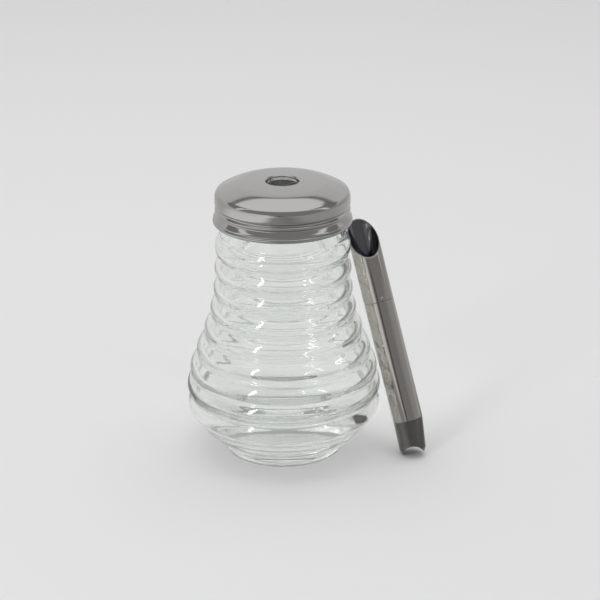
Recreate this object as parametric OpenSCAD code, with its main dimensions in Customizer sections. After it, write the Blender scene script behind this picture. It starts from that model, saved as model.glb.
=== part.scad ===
// Sugar dispenser: ribbed glass jar, steel screw lid with a hole, and a loose pouring tube
// with a flap inside. The tube stands beside the jar and leans against it.
// Millimetres. The jar stands on the plane z = 0 and its axis is the z axis.

/* [Jar] */
// Radius at the groove under the first rib
neck_groove_r = 29.3; // [29.0:0.1:29.6]
// How much wider the body is at the belly than at the neck
belly_growth = 14.2; // [10:0.1:18]
// Height over the highest groove where the body starts to widen
flare_up = 7.55; // [5:0.05:8.2]
// Height where the body is widest
belly_z = 31.7; // [29:0.1:34]
// How late the body widens on its way down
flare_power = 1.65; // [1.4:0.05:1.9]
// Height of the lowest groove between two ribs
low_groove_z = 17.97; // [17:0.01:19]
// Distance from one groove to the next
rib_pitch = 9.61; // [9.3:0.01:9.8]
// How far a rib stands out over the line between its grooves
rib_bulge = 2.2; // [1.2:0.1:2.6]
// Radius of the foot ring
foot_r = 27.9; // [25:0.1:30]
// Rounding of the foot's lower edge
foot_round = 0.8; // [0.4:0.1:1.5]
// Thickness of the glass at the grooves
glass_wall = 2.7; // [2:0.1:3.2]
// Thickness of the glass at the middle of the floor
floor_wall = 8; // [6:0.5:10]
// Depth of the hollow under the floor
push_up = 2; // [1:0.5:3]
// How much narrower the neck is than the groove under the first rib
neck_step = 0.4; // [0.2:0.1:0.8]
// Thickness of the glass at the neck
neck_wall = 3.3; // [2.5:0.1:4]
// Height of the neck over the first rib
neck_len = 20.12; // [19:0.01:21]
// Section radius of the thread on the neck
thread_roll = 1.2; // [1:0.1:1.3]
// How far the thread stands out of the neck
thread_out = 0.75; // [0.5:0.05:0.8]
// Rise of the thread in one turn
thread_pitch = 4.24; // [4:0.01:4.5]

/* [Lid] */
// From the neck to the outside of the skirt
skirt_space = 2.27; // [2.2:0.01:2.5]
// Thickness of the sheet steel
sheet = 0.45; // [0.35:0.05:0.5]
// Height of the dome's edge over the neck
crease_up = 2.55; // [2.2:0.05:3]
// Rise of the dome over its edge
crown_rise = 5.05; // [4.6:0.05:5.4]
// Radius of the flatter middle of the dome
crown_r = 20.6; // [18:0.2:22]
// Radius of the round bend between the dome and the side
edge_bend = 3.3; // [2.8:0.1:3.6]
// Slope of the dome at its edge, where that bend begins
edge_slope = 35.3; // [32:0.1:38]
// Space round the tube in the hole of the lid
hole_gap = 0.5; // [0.3:0.05:1]
// How far the collar reaches down from the top of the dome
collar_len = 2.5; // [2.2:0.1:5]
// Inner radius of the bend between the dome and the collar
collar_bend = 0.45; // [0.3:0.05:0.6]
// Depth of the pressed groove below the top of the neck
groove_down = 3.6; // [3.3:0.1:4]
// How far that groove is pressed in from the skirt
groove_in = 0.42; // [0.3:0.02:0.5]
// How far the rolled thread band stands out from the skirt
band_out = 0.93; // [0.8:0.01:1.1]
// How far the curled rim stands out from the skirt
rim_out = 0.98; // [0.9:0.01:1.2]
// Roll radius of the curled rim
rim_roll = 1.1; // [1:0.05:1.15]
// Length of the lid's side, from the dome's edge to the rim's lowest edge
skirt_len = 14.65; // [14:0.05:15.5]

/* [Liner] */
// How far the seal ring reaches in past the neck's inside
liner_lap = 0.8; // [0.3:0.1:1.5]
// Space between the seal ring and the parts beside it
liner_gap = 0.05; // [0.02:0.01:0.1]

/* [Tube] */
// Outer radius of the tube
tube_r = 7.05; // [6.9:0.05:7.1]
// Thickness of the tube's wall
tube_wall = 0.5; // [0.4:0.05:0.6]
// Length from the tips of the legs to the taper
taper_len = 16.5; // [14:0.1:20]
// Length from the tips of the legs to the joint between the two tubes
joint_at = 74.3; // [68:0.1:80]
// Length from the tips of the legs to the middle of the mouth
mouth_at = 104.5; // [102:0.1:110]
// Slant of the mouth
mouth_slant = 52.2; // [40:0.1:55]
// Turn of the mouth's high side about the tube
mouth_turn = -31.5; // [-50:0.5:-20]
// Bevel at the ends of the two tubes
end_bevel = 0.15; // [0.1:0.05:0.25]

/* [Foot of the tube] */
// How much narrower the foot is than the tube just above its tips
foot_taper = 0.85; // [0.6:0.05:1]
// How far the tips are turned in
tip_in = 1.1; // [0.8:0.05:1.2]
// Lean of the foot out of the tube's axis
foot_bend = 4.3; // [2:0.1:5]
// Direction of that lean about the tube
foot_bend_turn = 46.9; // [30:0.1:60]
// How much wider the arch is than the foot at its tips, as a radius
arch_spare = 0.1; // [0:0.05:0.3]
// Height of the arch
arch_h = 4.2; // [3.5:0.1:4.8]
// Direction of the arch about the tube
arch_turn = 133.9; // [120:0.1:150]
// How deep the foot is pushed into the tube
plug_len = 4; // [3:0.5:6]

/* [Flap] */
// Direction of the hinge about the tube
hinge_turn = 136.9; // [120:0.1:150]
// Distance from the wall of the bore to the middle of the hinge pin
hinge_in = 2.15; // [2.05:0.05:2.25]
// Radius of the hinge pin
pin_r = 0.5; // [0.45:0.05:0.55]
// Space around the pin in the knuckle
pin_gap = 0.05; // [0.02:0.01:0.08]
// Space around pieces that are pushed in or riveted
fit_gap = 0.02; // [0.01:0.01:0.04]
// Wall of the flap's knuckle
knuckle_wall = 0.3; // [0.25:0.05:0.3]
// Half the length of the knuckle
knuckle_half = 2.2; // [1.8:0.1:2.3]
// Space round the flap in the bore
flap_space = 0.65; // [0.6:0.05:0.8]
// Thickness of the flap
flap_t = 0.4; // [0.3:0.05:0.5]
// Thickness of the seat sleeve, with the space round it
seat_wall = 1.25; // [1.15:0.05:1.6]
// Length of the seat sleeve below the joint
sleeve_low = 6; // [4:0.5:9]
// Height of the seat above the joint
sleeve_up = 0.3; // [0.2:0.05:0.4]
// Direction of the rivet, measured from the hinge
rivet_turn = 14.5; // [12:0.5:16]
// Height of the rivet above the joint
rivet_up = 1.6; // [1.5:0.1:1.8]
// Radius of the rivet's shank
rivet_r = 0.4; // [0.35:0.05:0.5]
// Radius of the rivet's head
rivet_head_r = 0.8; // [0.7:0.05:0.9]

/* [Where the tube stands] */
// From the jar's top groove to the near side of the tube's foot
stand_out = 25.91; // [25.9:0.01:40]
// Place of the tube's foot beside the jar, to the front
stand_y = -14.45; // [-15:0.05:-14]
// Height of the point on the tube's axis between the tips of its legs
stand_z = 1.23; // [1:0.01:3]
// Lean of the tube out of the upright
lean = 19.81; // [19.5:0.01:20]
// Direction of the lean
lean_turn = 134.49; // [134:0.01:135]

/* [Hidden] */
$fn = 96;
eps = 0.01;
last_rib = 8;
bore_r = tube_r - tube_wall;
steel = [0.72, 0.72, 0.70];
pin_z = joint_at + sleeve_up + fit_gap + pin_r + pin_gap + knuckle_wall + 0.06;
first_groove_z = low_groove_z + last_rib * rib_pitch;
flare_top_z = first_groove_z + flare_up;
shoulder_r = neck_groove_r + 1.37;
shoulder_z = first_groove_z + rib_pitch - 0.38;
neck_r = neck_groove_r - neck_step;
mouth_r = neck_r - neck_wall;
neck_top_z = shoulder_z + neck_len;
skirt_r = neck_r + skirt_space;
groove_r = skirt_r - groove_in;
band_r = skirt_r + band_out;
rim_r = skirt_r + rim_out;
crease_z = neck_top_z + crease_up;
crown_z = crease_z + crown_rise;
groove_z = neck_top_z - groove_down;
rim_z = crease_z - skirt_len;
hole_r = tube_r + hole_gap;
liner_inner_r = mouth_r - liner_lap;
stand_x = neck_groove_r + stand_out + tube_r;
foot_end_r = tube_r - foot_taper;
foot_tip_r = foot_end_r - tip_in;
arch_r = foot_tip_r + arch_spare;
hinge_off = bore_r - hinge_in;
flap_edge = hinge_off - 0.4;
ledge_edge = hinge_off - 0.8;
flap_r = bore_r - flap_space;
seat_r = bore_r - seat_wall;
floor_z = push_up + floor_wall;
floor_round_z = floor_z + 15;
curl_r = rim_r - rim_roll;
curl_z = rim_z + rim_roll;
skirt_in = skirt_r - sheet;
edge_mid = [skirt_r - edge_bend, crease_z - edge_bend * cos(edge_slope)];
edge_r = edge_mid[0] + edge_bend * sin(edge_slope);

// Radius of the line through the grooves at height z
function body_t(z) = min(1, max(0, (flare_top_z - z) / (flare_top_z - belly_z)));
function body_low(z) = 0.006 * pow(max(0, belly_z - z), 2);
function body_r(z) = neck_groove_r + belly_growth * pow(sin(90 * pow(body_t(z), flare_power)), 2)
                     - body_low(z);
function groove_pt(i) = [body_r(first_groove_z - rib_pitch * i), first_groove_z - rib_pitch * i];

// Circle that stands out by h over the line from a to b
function chord(a, b) = norm(b - a);
function arc_r(a, b, h) = (pow(chord(a, b), 2) / 4 + h * h) / (2 * h);
function out_dir(a, b) = [(a[1] - b[1]) / chord(a, b), (b[0] - a[0]) / chord(a, b)];
function arc_mid(a, b, h) = (a + b) / 2 - out_dir(a, b) * (arc_r(a, b, h) - h);

// Points on that circle from a to b
function turn_of(p) = atan2(p[1], p[0]);
function arc_pts(a, b, h, n) = [for (k = [0 : n])
    let (c = arc_mid(a, b, h), t0 = turn_of(a - c), t1 = turn_of(b - c))
    c + arc_r(a, b, h) * [cos(t0 + (t1 - t0) * k / n), sin(t0 + (t1 - t0) * k / n)]];

// Quarter of a circle about c from angle t0 to t1
function bend(c, r, t0, t1) = [for (k = [0 : 6])
    c + r * [cos(t0 + (t1 - t0) * k / 6), sin(t0 + (t1 - t0) * k / 6)]];

module rib(a, b, h) {
    rotate_extrude()
        translate(arc_mid(a, b, h))
            circle(r = arc_r(a, b, h));
}

// Body of the jar without its ribs and its thread
module jar_core() {
    g8 = groove_pt(last_rib);
    under = [neck_groove_r - 8.8, 1.95];
    low = arc_pts(g8, under, 2.9, 20);
    rotate_extrude()
        polygon(concat([[0, 0], [foot_r - foot_round, 0]],
            bend([foot_r - foot_round, foot_round], foot_round, -90, 0),
            [for (k = [20 : -1 : 0]) if (low[k][0] > foot_r + 0.1) low[k]],
            [for (i = [last_rib - 1 : -1 : 0]) groove_pt(i) - [0.4, 0]],
            [[shoulder_r - 0.2, shoulder_z + 0.1], [neck_r + 0.5, shoulder_z + 1.9],
             [neck_r, shoulder_z + 2.4]],
            bend([neck_r - 1, neck_top_z - 1], 1, 0, 90),
            [[0, neck_top_z]]));
}

module jar_outside() {
    jar_core();
    for (i = [0 : last_rib - 1])
        rib(groove_pt(i), groove_pt(i + 1), rib_bulge);
    rib([shoulder_r, shoulder_z], groove_pt(0), 1.16);
    // thread
    for (z = [neck_top_z - 1.8, neck_top_z - 1.8 - thread_pitch])
        rotate_extrude()
            translate([neck_r + thread_out - thread_roll, z])
                circle(r = thread_roll);
}

// Inside of the jar, as a half section
module jar_inside() {
    wide = body_r(floor_round_z) - glass_wall;
    floor_pts = [for (a = [82.5 : -7.5 : 7.5])
        [wide * pow(cos(a), 0.667), floor_round_z - 15 * pow(sin(a), 0.667)]];
    wall_pts = [for (z = [floor_round_z : 5 : flare_top_z - 3])
        [body_r(z) - glass_wall, z]];
    polygon(concat([[0, floor_z]], floor_pts, wall_pts,
        [[mouth_r, shoulder_z + 3], [mouth_r, neck_top_z - 0.8],
         [mouth_r + 0.8, neck_top_z], [mouth_r + 0.8, neck_top_z + 1], [0, neck_top_z + 1]]));
}

module jar_glass() {
    color([0.80, 0.86, 0.83])
    difference() {
        jar_outside();
        rotate_extrude()
            jar_inside();
        // hollow under the floor
        translate([0, 0, push_up - 120])
            sphere(r = 120);
    }
}

// Dome of the lid: height at radius r, with a flank that runs into the bend at its edge
flank = edge_r - crown_r;
flank_drop = crown_z - crown_r * crown_r / 700 - crease_z;
flank_curve = tan(edge_slope) * flank / flank_drop - 1;
function flank_z(u) = crease_z + flank_drop * (1 - (1 - flank_curve) * u - flank_curve * u * u);
function dome_z(r) = r < crown_r ? crown_z - r * r / 700 : flank_z((r - crown_r) / flank);
// Point of the sheet's underside below radius r
function fall(r) = (dome_z(r - 0.01) - dome_z(r + 0.01)) / 0.02;
function under(r) = [r, dome_z(r)] - sheet / norm([fall(r), 1]) * [fall(r), 1];

module lid_shell() {
    bend_out = sheet + collar_bend;
    edge = hole_r + bend_out;
    zc = dome_z(edge) - bend_out;
    outer = concat([[hole_r, crown_z - collar_len]],
        bend([edge, zc], bend_out, 180, 90),
        [for (r = [edge + 1.6 : 1.6 : crown_r - 0.5]) [r, dome_z(r)]],
        [for (k = [0 : 7]) [crown_r + flank * k / 7, flank_z(k / 7)]],
        bend(edge_mid, edge_bend, 84 - edge_slope, 0),
        [[skirt_r, groove_z + 0.9], [groove_r, groove_z + 0.25], [groove_r, groove_z - 0.25],
         [band_r - 0.35, groove_z - 0.9], [band_r, groove_z - 1.6], [band_r, rim_z + 3.4],
         [band_r - 0.3, rim_z + 2.8], [curl_r + 0.5, rim_z + 2.35], [curl_r + 0.3, rim_z + 2]]);
    inner = concat([[curl_r - 0.2, rim_z + 2], [curl_r - 0.15, rim_z + 2.5],
         [band_r - sheet - 0.1, rim_z + 3.2], [band_r - sheet, rim_z + 3.6],
         [band_r - sheet, groove_z - 1.8], [band_r - sheet - 0.35, groove_z - 1.25],
         [groove_r - sheet, groove_z - 0.5], [groove_r - sheet, groove_z + 0.5],
         [skirt_in, groove_z + 1.1]],
        bend(edge_mid, edge_bend - sheet, 0, 84 - edge_slope),
        [for (k = [7 : -1 : 0]) under(crown_r + flank * k / 7)],
        [for (r = [crown_r - 1.6 : -1.6 : edge + 1]) under(r)],
        bend([edge, zc], collar_bend, 90, 180),
        [[hole_r + sheet, crown_z - collar_len]]);
    color(steel)
    union() {
        rotate_extrude()
            polygon(concat(outer, inner));
        // curled rim
        rotate_extrude()
            difference() {
                translate([curl_r, curl_z])
                    circle(r = rim_roll);
                translate([curl_r, curl_z])
                    circle(r = rim_roll - sheet);
            }
    }
}

module lid_liner() {
    low = neck_top_z + liner_gap;
    round = edge_bend - sheet - liner_gap - 0.1;
    color([0.86, 0.86, 0.82])
    rotate_extrude()
        polygon(concat([[liner_inner_r, low], [edge_mid[0] + round, low]],
            bend(edge_mid, round, 20, 50),
            [[liner_inner_r, edge_mid[1] + round * sin(50)]]));
}

// Place of the tube beside the jar
module in_tube() {
    translate([stand_x, stand_y, stand_z])
        rotate([0, lean, lean_turn])
            children();
}

// Plain tube from height a to height b with bevelled ends
module pipe(a, b) {
    rotate_extrude()
        polygon([[bore_r, a], [tube_r - end_bevel, a], [tube_r, a + end_bevel],
                 [tube_r, b - end_bevel], [tube_r - end_bevel, b], [bore_r, b]]);
}

module across_hinge(r) {
    rotate([0, 0, hinge_turn])
        translate([hinge_off, 0, pin_z])
            rotate([90, 0, 0])
                cylinder(r = r, h = 30, center = true);
}

module across_rivet(r, a, b) {
    rotate([0, 0, hinge_turn + rivet_turn])
        translate([a, 0, joint_at + rivet_up])
            rotate([0, 90, 0])
                cylinder(r = r, h = b - a);
}

module spout_tube() {
    color(steel)
    in_tube()
        difference() {
            pipe(joint_at + fit_gap, mouth_at + 15);
            translate([0, 0, mouth_at])
                rotate([0, 0, mouth_turn])
                    rotate([0, -mouth_slant, 0])
                        translate([-40, -40, 0])
                            cube([80, 80, 60]);
            across_hinge(pin_r + fit_gap);
            across_rivet(rivet_r + fit_gap, 3, 12);
        }
}

module dosing_tube() {
    color(steel)
    in_tube()
        pipe(taper_len, joint_at);
}

module foot_turned() {
    translate([0, 0, taper_len])
        rotate([0, 0, foot_bend_turn])
            rotate([0, -foot_bend, 0])
                rotate([0, 0, -foot_bend_turn])
                    translate([0, 0, -taper_len])
                        children();
}

module foot_cone(cut) {
    top = tube_r - 0.1 - cut;
    grow = (tube_r - 0.1 - foot_end_r) / (taper_len - 2.2);
    foot_turned()
        rotate_extrude()
            polygon([[0, -cut], [foot_tip_r - cut, -cut], [foot_end_r - cut, 2.2],
                     [top + grow * 2, taper_len + 2], [0, taper_len + 2]]);
}

module below_taper(z) {
    translate([0, 0, -5])
        cylinder(r = 20, h = z + 5);
}

module tube_foot() {
    color([0.50, 0.49, 0.47])
    in_tube()
        difference() {
            union() {
                intersection() {
                    foot_cone(0);
                    below_taper(taper_len - fit_gap);
                }
                translate([0, 0, taper_len - 1])
                    cylinder(r = bore_r - fit_gap, h = plug_len + 1);
            }
            intersection() {
                foot_cone(tube_wall);
                below_taper(taper_len - 1);
            }
            translate([0, 0, taper_len - 2])
                cylinder(r = bore_r - fit_gap - tube_wall, h = plug_len + 4);
            // arch between the legs
            foot_turned()
                rotate([0, 0, arch_turn])
                    translate([0, 0, arch_h - arch_r])
                        rotate([0, 90, 0])
                            cylinder(r = arch_r, h = 30, center = true);
        }
}

module seat_sleeve() {
    low = joint_at - sleeve_low;
    top = joint_at + sleeve_up;
    color([0.62, 0.61, 0.58])
    in_tube()
        difference() {
            union() {
                translate([0, 0, low])
                    cylinder(r = bore_r - fit_gap, h = top - low);
                // tab for the rivet
                intersection() {
                    cylinder(r = bore_r - fit_gap, h = top + 2.4);
                    rotate([0, 0, hinge_turn + rivet_turn])
                        translate([bore_r - 0.5, -0.9, joint_at - 1])
                            cube([2, 1.8, sleeve_up + 3.4]);
                }
            }
            translate([0, 0, low - 1])
                cylinder(r = seat_r, h = top - low);
            // hole in the seat, straight along the hinge
            intersection() {
                translate([0, 0, low - 1])
                    cylinder(r = seat_r, h = top - low + 2);
                rotate([0, 0, hinge_turn])
                    translate([ledge_edge - 20, -10, 0])
                        cube([20, 20, 200]);
            }
            across_rivet(rivet_r + fit_gap, 5, 12);
        }
}

module flap() {
    low = joint_at + sleeve_up + fit_gap;
    color([0.70, 0.70, 0.68])
    in_tube()
        difference() {
            union() {
                intersection() {
                    translate([0, 0, low])
                        cylinder(r = flap_r, h = flap_t);
                    rotate([0, 0, hinge_turn])
                        translate([flap_edge - 20, -10, 0])
                            cube([20, 20, 200]);
                }
                // tongue and knuckle
                rotate([0, 0, hinge_turn])
                    translate([flap_edge - 1, 0.1 - knuckle_half, low])
                        cube([1.3, 2 * knuckle_half - 0.2, flap_t]);
                rotate([0, 0, hinge_turn])
                    translate([hinge_off, 0, pin_z])
                        rotate([90, 0, 0])
                            cylinder(r = pin_r + pin_gap + knuckle_wall, h = 2 * knuckle_half,
                                     center = true);
            }
            across_hinge(pin_r + pin_gap);
        }
}

module flap_pin() {
    color([0.80, 0.80, 0.78])
    in_tube()
        intersection() {
            across_hinge(pin_r);
            cylinder(r = tube_r + 0.15, h = joint_at + 20);
        }
}

module seat_rivet() {
    color([0.80, 0.80, 0.78])
    in_tube()
        union() {
            across_rivet(rivet_r, bore_r - 0.5, tube_r + 0.2);
            intersection() {
                across_rivet(rivet_head_r, tube_r - 0.3, tube_r + 0.3);
                rotate([0, 0, hinge_turn + rivet_turn])
                    translate([tube_r - 0.72, 0, joint_at + rivet_up])
                        sphere(r = 1.02);
                difference() {
                    cylinder(r = tube_r + 3, h = joint_at + 10);
                    cylinder(r = tube_r, h = joint_at + 10);
                }
            }
        }
}

jar_glass();
lid_shell();
lid_liner();
spout_tube();
dosing_tube();
tube_foot();
seat_sleeve();
flap();
flap_pin();
seat_rivet();
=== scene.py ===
# Sugar dispenser: a ribbed glass jar with a screw lid of pressed steel, and beside it
# the pouring tube that goes through the lid, with its flap inside and its foot below.
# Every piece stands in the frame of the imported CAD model, in metres.
import math

import bmesh
import bpy
from mathutils import Matrix, Vector


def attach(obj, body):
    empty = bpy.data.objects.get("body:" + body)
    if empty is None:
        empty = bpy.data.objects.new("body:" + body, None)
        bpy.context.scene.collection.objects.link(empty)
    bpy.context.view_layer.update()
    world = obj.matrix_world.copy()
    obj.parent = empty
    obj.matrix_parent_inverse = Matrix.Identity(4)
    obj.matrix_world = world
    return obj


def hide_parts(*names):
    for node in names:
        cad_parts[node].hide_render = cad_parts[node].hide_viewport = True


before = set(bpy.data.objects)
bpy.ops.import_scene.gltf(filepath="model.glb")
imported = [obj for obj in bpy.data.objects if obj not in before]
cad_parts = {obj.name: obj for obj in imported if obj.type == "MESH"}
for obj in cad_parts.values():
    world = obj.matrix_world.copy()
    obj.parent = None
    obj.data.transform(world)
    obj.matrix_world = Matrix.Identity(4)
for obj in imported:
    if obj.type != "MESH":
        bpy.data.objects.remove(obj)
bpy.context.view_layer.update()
scene = bpy.context.scene
scene.view_settings.view_transform = "Standard"
# Light passes many ribs of glass before it comes out again
scene.cycles.max_bounces = 32
scene.cycles.transmission_bounces = 32
scene.cycles.glossy_bounces = 12
MM = 0.001


# Camera: a long lens from the front, a little above the lid.
lens = bpy.data.cameras.new("camera")
lens.sensor_width = 36
lens.lens = 2087 / 600 * 36
camera = bpy.data.objects.new("camera", lens)
camera.matrix_world = (Matrix.Translation((0.0078, -0.903, 0.432))
                       @ Matrix.Rotation(math.radians(90 - 21.68), 4, "X")
                       @ Matrix.Rotation(math.radians(-0.24), 4, "Z"))
scene.collection.objects.link(camera)
scene.camera = camera


# Jar: clear soda glass, pressed and blown in a mould with eight round ribs.
# The wall is thick and a little uneven, the floor is a heavy slug of glass,
# and the neck carries the thread for the lid.
# Heights and radii in mm, as in the part's source
NECK_GROOVE_R, BELLY_GROWTH = 29.3, 14.2
FLARE_TOP, BELLY_Z = 102.4, 31.7
FIRST_GROOVE, RIB_PITCH, LAST_RIB = 94.85, 9.61, 8
NECK_R, NECK_TOP, THREAD_PITCH = 28.9, 124.2, 4.24
WALL, WALL_TOP, FLOOR_ROUND, FLOOR_Z = 2.9, 103.5, 25, 10
PUSH_UP_R = 120


def belly_line(z):
    """Radius of the line through the grooves at height z, in mm."""
    t = min(1, max(0, (FLARE_TOP - z) / (FLARE_TOP - BELLY_Z)))
    return (NECK_GROOVE_R + BELLY_GROWTH * math.sin(math.pi / 2 * t ** 1.65) ** 2
            - 0.006 * max(0, BELLY_Z - z) ** 2)


def arc(a, b, bulge, count):
    """Points of the circle that stands out by bulge over the line from a down to b."""
    a, b = Vector(a), Vector(b)
    run = (b - a).length
    radius = (run * run / 4 + bulge * bulge) / (2 * bulge)
    out = Vector((a.y - b.y, b.x - a.x)) / run
    middle = (a + b) / 2 - out * (radius - bulge)
    start = math.atan2(a.y - middle.y, a.x - middle.x)
    end = math.atan2(b.y - middle.y, b.x - middle.x)
    return [(middle.x + radius * math.cos(start + (end - start) * k / count),
             middle.y + radius * math.sin(start + (end - start) * k / count))
            for k in range(count + 1)]


def fillet(centre, radius, start, end, count=6):
    """Points on a circle between two angles in degrees."""
    return [(centre[0] + radius * math.cos(math.radians(start + (end - start) * k / count)),
             centre[1] + radius * math.sin(math.radians(start + (end - start) * k / count)))
            for k in range(count + 1)]


def turned(section, steps=192, closed=False):
    """A mesh turned round the Z axis from a half section in millimetres."""
    mesh = bmesh.new()
    points = [mesh.verts.new((r * MM, 0, z * MM)) for r, z in section]
    edges = [mesh.edges.new(pair) for pair in zip(points, points[1:])]
    if closed:
        edges.append(mesh.edges.new((points[-1], points[0])))
    bmesh.ops.spin(mesh, geom=points + edges, cent=(0, 0, 0), axis=(0, 0, 1),
                   angle=math.tau, steps=steps, use_merge=True)
    bmesh.ops.remove_doubles(mesh, verts=mesh.verts, dist=1e-7)
    bmesh.ops.recalc_face_normals(mesh, faces=mesh.faces)
    return mesh


def finished(mesh, name, material, body, nodes=(), crease=35):
    """The piece made from a bmesh, smooth but for edges over the crease angle."""
    for edge in mesh.edges:
        if len(edge.link_faces) == 2:
            edge.smooth = edge.calc_face_angle() < math.radians(crease)
    for face in mesh.faces:
        face.smooth = True
    data = bpy.data.meshes.new(name)
    mesh.to_mesh(data)
    mesh.free()
    data.materials.append(material)
    piece = bpy.data.objects.new(name, data)
    scene.collection.objects.link(piece)
    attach(piece, body)
    if nodes:
        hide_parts(*nodes)
    return piece


def colour(code):
    """Linear colour from an sRGB hex code."""
    parts = [int(code[k:k + 2], 16) / 255 for k in (0, 2, 4)]
    return [c / 12.92 if c <= 0.04045 else ((c + 0.055) / 1.055) ** 2.4 for c in parts] + [1]


def add(tree, kind, inputs=None, **settings):
    """Adds a node with its settings; an input is a value or the socket that feeds it."""
    made = tree.nodes.new("ShaderNode" + kind)
    for name, value in settings.items():
        setattr(made, name, value)
    for name, value in (inputs or {}).items():
        if isinstance(value, bpy.types.NodeSocket):
            tree.links.new(value, made.inputs[name])
        else:
            made.inputs[name].default_value = value
    return made


def empty_material(name):
    """A material with no nodes yet, and its node tree."""
    material = bpy.data.materials.new(name)
    material.use_nodes = True
    material.node_tree.nodes.clear()
    return material, material.node_tree


def softened(points, rounds):
    """The same chain of points with its corners rubbed down."""
    for _ in range(rounds):
        points = [points[0]] + [
            (b[0] / 2 + (a[0] + c[0]) / 4, b[1] / 2 + (a[1] + c[1]) / 4)
            for a, b, c in zip(points, points[1:], points[2:])] + [points[-1]]
    return points


GROOVES = [(belly_line(z), z) for z in (FIRST_GROOVE - RIB_PITCH * k for k in range(LAST_RIB + 1))]
# From the push-up under the floor, over the foot ring, up to the lowest groove
outside = [(0, 1.7)] + [(r, 2 - PUSH_UP_R + math.sqrt(PUSH_UP_R ** 2 - r * r))
                        for r in range(3, 22, 3)]
outside += fillet((23.2, 0.6), 0.6, 200, 270) + fillet((27.1, 0.8), 0.8, -90, 0)
outside += [p for p in reversed(arc(GROOVES[LAST_RIB], (20.5, 1.95), 2.9, 26)) if p[0] > 28.0]
for lower, upper in zip(GROOVES[:0:-1], GROOVES[-2::-1]):
    rib = list(reversed(arc(upper, lower, 2.2, 28)))
    outside += rib[1:]
# The mould left the grooves soft; the foot ring keeps its edges
RING_POINTS = 22
outside = outside[:RING_POINTS] + softened(outside[RING_POINTS:], 4)
# Shoulder and neck, with the thread as two level rolls
outside += list(reversed(arc((30.67, 104.08), GROOVES[0], 1.16, 10)))[1:]
outside += [(29.9, 105.3), (29.4, 105.98), (29.0, 106.3), (NECK_R, 106.8)]
for z in (NECK_TOP - 1.8 - THREAD_PITCH, NECK_TOP - 1.8):
    outside += fillet((28.45, z), 1.2, -68, 68, 8)
outside += fillet((27.9, 123.2), 1, 0, 90)
# Inside, the wall follows the ribs weakly down to the rounded floor
floor_width = belly_line(FLOOR_ROUND) - WALL
inside = fillet((26.4, 123.4), 0.8, 90, 180)
inside += [(25.6, 118), (25.6, 112), (25.6, 107.5)]
for k in range(200):
    z = WALL_TOP - (WALL_TOP - FLOOR_ROUND) * k / 199
    over = 0.5 - 0.5 * math.cos(math.tau * (FIRST_GROOVE - z) / RIB_PITCH)
    inside.append((belly_line(z) - WALL + min(1, (z - FLOOR_ROUND) / 8) * 1.9 * over, z))
inside += [(floor_width * math.cos(math.radians(a)) ** 0.667,
            FLOOR_ROUND - (FLOOR_ROUND - FLOOR_Z) * math.sin(math.radians(a)) ** 0.667)
           for a in range(5, 90, 5)]
inside += [(0, FLOOR_Z)]
jar_mesh = turned(outside + inside, steps=180)

clear_glass, tree = empty_material("pressed clear soda glass")
place = add(tree, "TexCoord")
# Slow waves of the cooling glass, about 9 mm apart, that break the lamps up into squiggles
waves = add(tree, "TexNoise", {"Vector": place.outputs["Object"], "Scale": 110.0,
                               "Detail": 1.5, "Roughness": 0.5})
uneven = add(tree, "Bump", {"Height": waves.outputs[0], "Strength": 0.045, "Distance": 0.0006})
glass = add(tree, "BsdfPrincipled", {
    "Base Color": colour("fbfdfb"), "Roughness": 0.015, "IOR": 1.52,
    "Transmission Weight": 1.0, "Normal": uneven.outputs[0]})
# Iron in the sand gives thick parts a faint green
depth = add(tree, "VolumeAbsorption", {"Color": (0.755, 0.79, 0.765, 1), "Density": 5.5})
add(tree, "OutputMaterial", {"Surface": glass.outputs[0], "Volume": depth.outputs[0]})
jar = finished(jar_mesh, "sugar_jar", clear_glass, "jar", ["jar_glass"], crease=50)
# Clear glass lets the soft light through
jar.visible_shadow = False


# Lid: one blank of 0.45 mm stainless steel, drawn over the neck, with a groove rolled into
# the skirt for the thread, a curled rim, and a collar turned down round the hole.
CROWN_TOP, CROWN_EDGE, CROWN_SPREAD = 131.75, 20.6, 700
FLANK_END, FLANK, FLANK_DROP, FLANK_CURVE = 127.2, 9.3, 3.944, 0.387
SHEET = 0.45


def dome_height(r):
    """Height of the lid's top at radius r, in mm: a flat crown, then a steeper flank."""
    u = (r - CROWN_EDGE) / FLANK
    if u < 0:
        return CROWN_TOP - r * r / CROWN_SPREAD
    return FLANK_END + FLANK_DROP * (1 - (1 - FLANK_CURVE) * u - FLANK_CURVE * u * u)


def bezier(start, pull, end, count=8):
    """Points of a bend from start to end that is pulled to a corner."""
    return [tuple((1 - t) ** 2 * a + 2 * t * (1 - t) * b + t * t * c
                  for a, b, c in zip(start, pull, end))
            for t in (k / count for k in range(count + 1))]


COLLAR_EDGE, COLLAR_BEND = 8.45, 0.9
cover = [(7.85, 129.3), (7.78, 129.6), (7.66, 130.2)]
cover += fillet((COLLAR_EDGE, dome_height(COLLAR_EDGE) - COLLAR_BEND), COLLAR_BEND, 180, 90, 10)
cover += [(r, dome_height(r)) for r in (9, 10, 11, 12, 13.5, 15, 16.5, 18)]
# A soft knee between crown and flank, then the crease and the skirt
cover += bezier(*[(r, dome_height(r)) for r in (18.8, CROWN_EDGE, 22.4)])
cover += [(r, dome_height(r)) for r in (23.2, 24.2, 25.5, 27, 28, 29)]
cover += bezier((29.7, dome_height(29.7)), (30.15, 127.06), (30.32, 126.77), 4)
cover += bezier((30.32, 126.77), (31.0, 125.6), (31.08, 124.9), 6)[1:]
cover += [(31.11, 124.2), (31.14, 123.2), (31.17, 122.2), (31.17, 121.6), (31.14, 121.3)]
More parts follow.
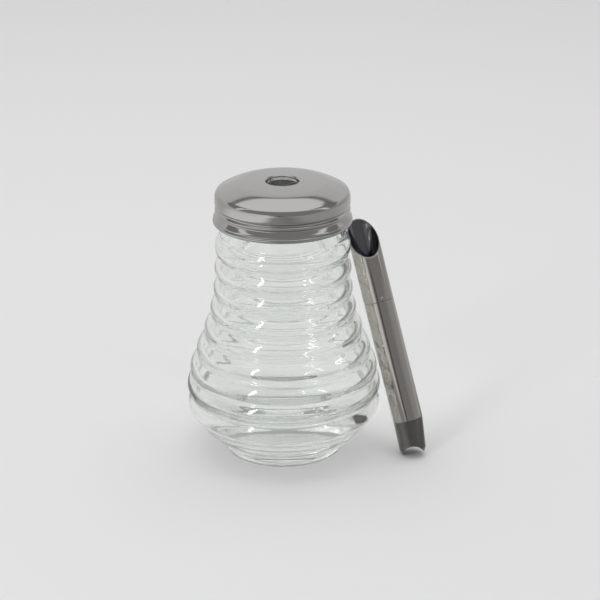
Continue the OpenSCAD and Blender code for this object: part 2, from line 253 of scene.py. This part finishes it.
# The groove, the roll of the thread, and the band that flares to the curled rim
cover += [(31.05, 121.05), (30.75, 120.82), (30.42, 120.56), (30.22, 120.25), (30.16, 119.92),
          (30.2, 119.68), (30.35, 119.52), (30.6, 119.34), (30.85, 119.15), (31.02, 118.92),
          (31.08, 118.62), (31.0, 118.28), (30.78, 118.0), (30.56, 117.78), (30.42, 117.5),
          (30.4, 117.25), (30.48, 117.02), (30.62, 116.8), (30.9, 116.3), (31.2, 115.8),
          (31.5, 115.35), (31.78, 114.95), (31.84, 114.75), (31.74, 114.5)]
cover += fillet((31.05, 113.2), 1.1, 60, -240, 22)
lid_mesh = turned(cover)

pressed_steel, tree = empty_material("pressed stainless steel")
place = add(tree, "TexCoord")
# A satin polish: faint scratches about 1 mm apart, drawn as coarse as they need to show
scratches = add(tree, "TexNoise", {"Vector": place.outputs["Object"], "Scale": 900.0,
                                   "Detail": 3.0, "Roughness": 0.6})
satin = add(tree, "MapRange", {"Value": scratches.outputs[0], "To Min": 0.08, "To Max": 0.15})
fine = add(tree, "Bump", {"Height": scratches.outputs[0], "Strength": 0.08, "Distance": 0.0001})
steel = add(tree, "BsdfPrincipled", {
    "Base Color": colour("b8b6b3"), "Metallic": 1.0, "Roughness": satin.outputs[0],
    "Normal": fine.outputs[0]})
add(tree, "OutputMaterial", {"Surface": steel.outputs[0]})
lid = finished(lid_mesh, "screw_lid", pressed_steel, "lid", ["lid_shell"],
               crease=50)
# Inside, the sheet is as it came from the press and dull; its dark colour is painted shade under
# the lid
raw_and_shaded_steel, tree = empty_material("raw inner side of the sheet with painted shade")
place = add(tree, "TexCoord")
mill = add(tree, "TexNoise", {"Vector": place.outputs["Object"], "Scale": 400.0, "Detail": 3.0})
dull = add(tree, "MapRange", {"Value": mill.outputs[0], "To Min": 0.35, "To Max": 0.5})
# Painted shade: the dark grey stands for the little light under the lid
steel = add(tree, "BsdfPrincipled", {"Base Color": colour("6b6a66"), "Metallic": 1.0,
                                     "Roughness": dull.outputs[0]})
add(tree, "OutputMaterial", {"Surface": steel.outputs[0]})
lid.data.materials.append(raw_and_shaded_steel)
sheet = lid.modifiers.new("sheet", "SOLIDIFY")
sheet.thickness = SHEET * MM
sheet.offset = -1
sheet.use_even_offset = True
sheet.material_offset = 1


# Tube: seamless bright steel in two lengths that meet just above the seat of the flap.
# The upper length is cut at a slant for its mouth.
STAND = (Matrix.Translation((62.26 * MM, -14.45 * MM, 1.23 * MM))
         @ Matrix.Rotation(math.radians(134.49), 4, "Z")
         @ Matrix.Rotation(math.radians(19.81), 4, "Y"))
TUBE_R, BORE_R = 7.05, 6.55
FOOT_TOP, JOINT, MOUTH = 16.5, 74.3, 104.5


def pipe(low, high):
    """A turned pipe between two heights, its ends broken by 0.15 mm."""
    return turned([(BORE_R, low), (TUBE_R - 0.15, low), (TUBE_R, low + 0.15),
                   (TUBE_R, high - 0.15), (TUBE_R - 0.15, high), (BORE_R, high)],
                  steps=144, closed=True)


bright_steel, tree = empty_material("drawn bright steel")
place = add(tree, "TexCoord")
back = STAND.inverted()
along = add(tree, "Mapping", {"Vector": place.outputs["Object"], "Location": back.translation,
                              "Rotation": back.to_euler()})
# Drawing lines run along the tube: 0.3 mm apart and some 60 mm long
lines = add(tree, "Mapping", {"Vector": along.outputs[0], "Scale": (3000, 3000, 15)})
drawn = add(tree, "TexNoise", {"Vector": lines.outputs[0], "Scale": 1.0, "Detail": 2.0})
shine = add(tree, "MapRange", {"Value": drawn.outputs[0], "To Min": 0.06, "To Max": 0.13})
ridge = add(tree, "Bump", {"Height": drawn.outputs[0], "Strength": 0.05, "Distance": 0.0001})
# The bore was never polished, so it is rougher; its dark colour is painted shade inside the tube,
# and the sawn face of the rim is painted as dark too
across = add(tree, "VectorMath", {0: along.outputs[0], 1: (1, 1, 0)}, operation="MULTIPLY")
radius = add(tree, "VectorMath", {0: across.outputs[0]}, operation="LENGTH")
polish_and_painted_shade = add(tree, "MapRange", {"Value": radius.outputs["Value"], "From Min": 6.8 * MM,
                                  "From Max": 7.0 * MM})
# Painted shade: dark grey in the bore, the bright steel colour outside
tone = add(tree, "MixRGB", {"Fac": polish_and_painted_shade.outputs[0], "Color1": colour("77767a"),
                            "Color2": colour("b6b2ad")})
gloss = add(tree, "MapRange", {"Value": polish_and_painted_shade.outputs[0], "To Min": 0.18})
tree.links.new(shine.outputs[0], gloss.inputs["To Max"])
steel = add(tree, "BsdfPrincipled", {
    "Base Color": tone.outputs[0], "Metallic": 1.0, "Roughness": gloss.outputs[0],
    "Normal": ridge.outputs[0]})
add(tree, "OutputMaterial", {"Surface": steel.outputs[0]})

lower = pipe(FOOT_TOP, JOINT)
bmesh.ops.transform(lower, matrix=STAND, verts=lower.verts)
finished(lower, "lower_tube", bright_steel, "tube", ["dosing_tube"])

upper = pipe(JOINT + 0.02, 125)
slant = (Matrix.Rotation(math.radians(-31.5), 3, "Z")
         @ Matrix.Rotation(math.radians(-52.2), 3, "Y"))
cut = bmesh.ops.bisect_plane(upper, geom=upper.verts[:] + upper.edges[:] + upper.faces[:],
                             plane_co=(0, 0, MOUTH * MM), plane_no=slant @ Vector((0, 0, 1)),
                             clear_outer=True)
rim = [e for e in cut["geom_cut"] if isinstance(e, bmesh.types.BMEdge)]
bmesh.ops.bridge_loops(upper, edges=rim)
bmesh.ops.bevel(upper, geom=rim, offset=0.12 * MM, segments=2, profile=0.5,
                affect="EDGES", material=-1)
bmesh.ops.recalc_face_normals(upper, faces=upper.faces)
bmesh.ops.transform(upper, matrix=STAND, verts=upper.verts)
finished(upper, "spout_tube_with_slanted_mouth", bright_steel, "tube",
         ["spout_tube"])


# Foot: a short tapered end of darker steel, pressed into the tube and bent a little,
# with an arch cut through it that lets the sugar in.
ARCH_R, ARCH_H = 5.2, 4.2
TIP_H = 2.2


def cone_radius(z):
    """Outer radius of the foot at height z, in mm."""
    return 5.1 + 0.5 * z if z < TIP_H else 6.2 + 0.0525 * (z - TIP_H)


# The cone, then the plug that is pressed into the tube, then the bore
outer = [(cone_radius(z), z) for z in (0, 0.8, 1.6, 2.0, TIP_H, 2.5, 4, 6, 8, 10, 12, 14, 15.5)]
shell = outer + [(6.95, 16.48), (6.53, 16.48), (6.53, 20.3), (6.33, 20.5), (6.03, 20.5),
                 (6.03, 16.2), (6.40, 15.5)]
shell += [(r - 0.5, z) for r, z in reversed(outer[:-1])]
foot = turned(shell, steps=144, closed=True)
turn = Matrix.Rotation(math.radians(46.9), 4, "Z")
bent = (Matrix.Translation((0, 0, FOOT_TOP * MM)) @ turn
        @ Matrix.Rotation(math.radians(-4.3), 4, "Y") @ turn.inverted()
        @ Matrix.Translation((0, 0, -FOOT_TOP * MM)))
bmesh.ops.transform(foot, matrix=bent, verts=[v for v in foot.verts if v.co.z < 16 * MM])

worn_steel, tree = empty_material("dull pressed steel")
place = add(tree, "TexCoord")
# The foot was never polished, so it is dark and a little patchy
grime = add(tree, "TexNoise", {"Vector": place.outputs["Object"], "Scale": 260.0,
                               "Detail": 4.0, "Roughness": 0.6})
patch = add(tree, "ValToRGB", {"Fac": grime.outputs[0]})
patch.color_ramp.elements[0].color = colour("6e6c69")
patch.color_ramp.elements[1].color = colour("807d7a")
dull = add(tree, "MapRange", {"Value": grime.outputs[0], "To Min": 0.14, "To Max": 0.24})
steel = add(tree, "BsdfPrincipled", {
    "Base Color": patch.outputs[0], "Metallic": 1.0, "Roughness": dull.outputs[0]})
add(tree, "OutputMaterial", {"Surface": steel.outputs[0]})

cutter = bmesh.new()
bmesh.ops.create_cone(cutter, cap_ends=True, segments=96, radius1=ARCH_R * MM,
                      radius2=ARCH_R * MM, depth=30 * MM)
bmesh.ops.transform(cutter, verts=cutter.verts,
                    matrix=STAND @ bent @ Matrix.Rotation(math.radians(133.9), 4, "Z")
                    @ Matrix.Translation((0, 0, (ARCH_H - ARCH_R) * MM))
                    @ Matrix.Rotation(math.radians(90), 4, "Y"))
cutter_data = bpy.data.meshes.new("arch cutter")
cutter.to_mesh(cutter_data)
cutter.free()
cutter_piece = bpy.data.objects.new("arch cutter", cutter_data)
scene.collection.objects.link(cutter_piece)
bmesh.ops.transform(foot, matrix=STAND, verts=foot.verts)
foot_data = bpy.data.meshes.new("foot")
foot.to_mesh(foot_data)
foot.free()
whole = bpy.data.objects.new("foot", foot_data)
scene.collection.objects.link(whole)
arch = whole.modifiers.new("arch", "BOOLEAN")
arch.object = cutter_piece
arch.solver = "EXACT"
bpy.context.view_layer.update()
cut_mesh = bmesh.new()
cut_mesh.from_object(whole, bpy.context.evaluated_depsgraph_get())
bpy.data.objects.remove(whole)
bpy.data.objects.remove(cutter_piece)
finished(cut_mesh, "tube_foot_with_arch", worn_steel, "tube", ["tube_foot"])


# Seal, seat, flap, pin and rivet: small pieces inside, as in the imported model.
# The seal is a soft ring under the lid, the seat is dull steel, and the rest is bright.
soft_seal, tree = empty_material("moulded soft seal")
place = add(tree, "TexCoord")
# Off-white and faintly cloudy, as moulded plastic is
cloud = add(tree, "TexNoise", {"Vector": place.outputs["Object"], "Scale": 300.0})
tone = add(tree, "ValToRGB", {"Fac": cloud.outputs[0]})
tone.color_ramp.elements[0].color = colour("d9d7cf")
tone.color_ramp.elements[1].color = colour("e6e4dd")
soft = add(tree, "BsdfPrincipled", {"Base Color": tone.outputs[0], "Roughness": 0.6})
add(tree, "OutputMaterial", {"Surface": soft.outputs[0]})
for name, material in (("lid_liner", soft_seal), ("seat_sleeve", worn_steel),
                       ("flap", bright_steel), ("flap_pin", bright_steel),
                       ("seat_rivet", bright_steel)):
    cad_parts[name].data.materials.clear()
    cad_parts[name].data.materials.append(material)


# Floor: a wide sheet of pale matt paper. Farther out, polished surfaces see it glow with a
# painted reflection of a room: bright to the left, dark in front and grey behind.
def ramp(tree, value, stops):
    """A colour ramp of grey levels: pairs of a place and a brightness."""
    made = add(tree, "ValToRGB", {"Fac": value})
    marks = made.color_ramp.elements
    for place, level in stops[1:-1]:
        marks.new(place)
    for mark, (place, level) in zip(marks, stops):
        mark.position = place
        mark.color = (level, level, level, 1)
    return made


paper, tree = empty_material("pale matt paper")
place = add(tree, "TexCoord")
matt = add(tree, "BsdfPrincipled", {"Base Color": colour("e9e9e9"), "Roughness": 0.9,
                                    "Specular IOR Level": 0.1})
distance = add(tree, "VectorMath", {0: place.outputs["Object"]}, operation="LENGTH")
far = add(tree, "MapRange", {"Value": distance.outputs["Value"], "From Min": 0.03,
                             "From Max": 0.12}, interpolation_type="SMOOTHSTEP")
sight = add(tree, "LightPath")
mirrored = add(tree, "Math", {0: sight.outputs["Is Glossy Ray"],
                              1: sight.outputs["Is Transmission Ray"]},
               operation="SUBTRACT", use_clamp=True)
share = add(tree, "Math", {0: far.outputs[0], 1: mirrored.outputs[0]}, operation="MULTIPLY")
axes = add(tree, "SeparateXYZ", {"Vector": place.outputs["Object"]})
side = add(tree, "MapRange", {"Value": axes.outputs["X"], "From Min": -0.5, "From Max": 0.5})
# Painted reflection: grey levels across the floor that only mirrored rays see glowing
front = ramp(tree, side.outputs[0], [
    (0, 0.9), (0.15, 1), (0.27, 1), (0.36, 0.4), (0.5, 0.33), (0.6, 0.3), (0.8, 0.48), (1, 0.5)])
behind = add(tree, "MapRange", {"Value": axes.outputs["Y"], "From Max": 0.2})
around = add(tree, "MixRGB", {"Fac": behind.outputs[0], "Color1": front.outputs[0],
                              "Color2": (0.6, 0.6, 0.6, 1)})
painted_room_glow = add(tree, "Emission", {"Color": around.outputs[0]})
mixed = add(tree, "MixShader", {"Fac": share.outputs[0], 1: matt.outputs[0], 2: painted_room_glow.outputs[0]})
add(tree, "OutputMaterial", {"Surface": mixed.outputs[0]})
ground = bmesh.new()
bmesh.ops.create_grid(ground, x_segments=8, y_segments=8, size=3.5)
ground_data = bpy.data.meshes.new("floor")
ground.to_mesh(ground_data)
ground.free()
ground_data.materials.append(paper)
floor = bpy.data.objects.new("floor", ground_data)
scene.collection.objects.link(floor)


# Studio: an even pale room with the darker side behind the camera, a broad soft lamp
# above, and two windows that draw the bright lines on glass and steel. Steel shows the
# room all round: bright to the left, dark in front, and a grey wall behind.
world = bpy.data.worlds.new("studio")
scene.world = world
world.use_nodes = True
tree = world.node_tree
tree.nodes.clear()
way = add(tree, "TexCoord")
turn_round = add(tree, "TexGradient", {"Vector": way.outputs["Generated"]}, gradient_type="RADIAL")
# 0.25 is the camera's side, 0.5 the right and 0.75 the back
walls = ramp(tree, turn_round.outputs["Fac"], [
    (0, 0.7), (0.08, 0.75), (0.13, 1), (0.185, 0.95), (0.2, 0.35), (0.222, 0.25), (0.226, 0.08),
    (0.24, 0.08), (0.25, 0.3), (0.37, 0.3), (0.44, 0.42), (0.51, 0.45), (0.57, 0.45),
    (0.75, 0.72), (0.92, 0.6), (1, 0.7)])
parts = add(tree, "SeparateXYZ", {"Vector": way.outputs["Generated"]})
# Overhead the levels follow the slope y / z: the dark front, a bright strip of ceiling, the
# lamp with a dark edge behind it, then the grey back wall
slope = add(tree, "Math", {0: parts.outputs["Y"], 1: parts.outputs["Z"]}, operation="DIVIDE")
level = add(tree, "MapRange", {"Value": slope.outputs[0], "From Min": -2.0, "From Max": 2.0})
above = ramp(tree, level.outputs[0], [
    (0, 0.3), (0.35, 0.3), (0.365, 1), (0.44, 1), (0.45, 0.27), (0.67, 0.27), (0.685, 0.2),
    (0.712, 0.22), (0.74, 0.72), (1, 0.72)])
high = add(tree, "MapRange", {"Value": parts.outputs["Z"], "From Min": 0.2, "From Max": 0.3})
around = add(tree, "MixRGB", {"Fac": high.outputs[0], "Color1": walls.outputs[0],
                              "Color2": above.outputs[0]})
room = add(tree, "Background", {"Color": around.outputs[0], "Strength": 1.0})
plain = add(tree, "Background", {"Color": colour("dbdbdb"), "Strength": 0.8})
backdrop = add(tree, "Background", {"Color": colour("dbdbdb"), "Strength": 1.0})
ray = add(tree, "LightPath")
seen = add(tree, "MixShader", {"Fac": ray.outputs["Is Camera Ray"], 1: plain.outputs[0],
                               2: backdrop.outputs[0]})
mirrored = add(tree, "MixShader", {"Fac": ray.outputs["Is Glossy Ray"], 1: seen.outputs[0],
                                   2: room.outputs[0]})
through = add(tree, "MixShader", {"Fac": ray.outputs["Is Transmission Ray"],
                                  1: mirrored.outputs[0], 2: backdrop.outputs[0]})
add(tree, "OutputWorld", {"Surface": through.outputs[0]})


def lamp(name, place, aim, size, power):
    """A soft rectangular lamp at place that points to aim, in metres and watts."""
    light = bpy.data.lights.new(name, "AREA")
    light.shape = "RECTANGLE"
    light.size, light.size_y = size
    light.energy = power
    stand = bpy.data.objects.new(name, light)
    stand.location = place
    stand.rotation_euler = (Vector(aim) - Vector(place)).to_track_quat("-Z", "Y").to_euler()
    scene.collection.objects.link(stand)
    return stand


lamp("overhead", (-0.09, 0.3, 1.3), (-0.09, 0.3, 0), (1.42, 1.06), 3.4)
fill = lamp("fill", (0, -0.3, 1.1), (0, -0.3, 0), (1.0, 0.5), 0.6)
fill.visible_glossy = False
windows = [lamp("left window", (-0.75, -0.9, 0.6), (0, 0, 0.1), (0.1, 0.9), 2.8),
           lamp("right window", (0.9, -0.7, 0.7), (0, 0, 0.1), (0.07, 0.6), 0.7)]
# Only the glass is smooth enough to draw the windows
lit = bpy.data.collections.new("lit by the windows")
lit.objects.link(jar)
lit.objects.link(floor)
for window in windows:
    window.light_linking.receiver_collection = lit
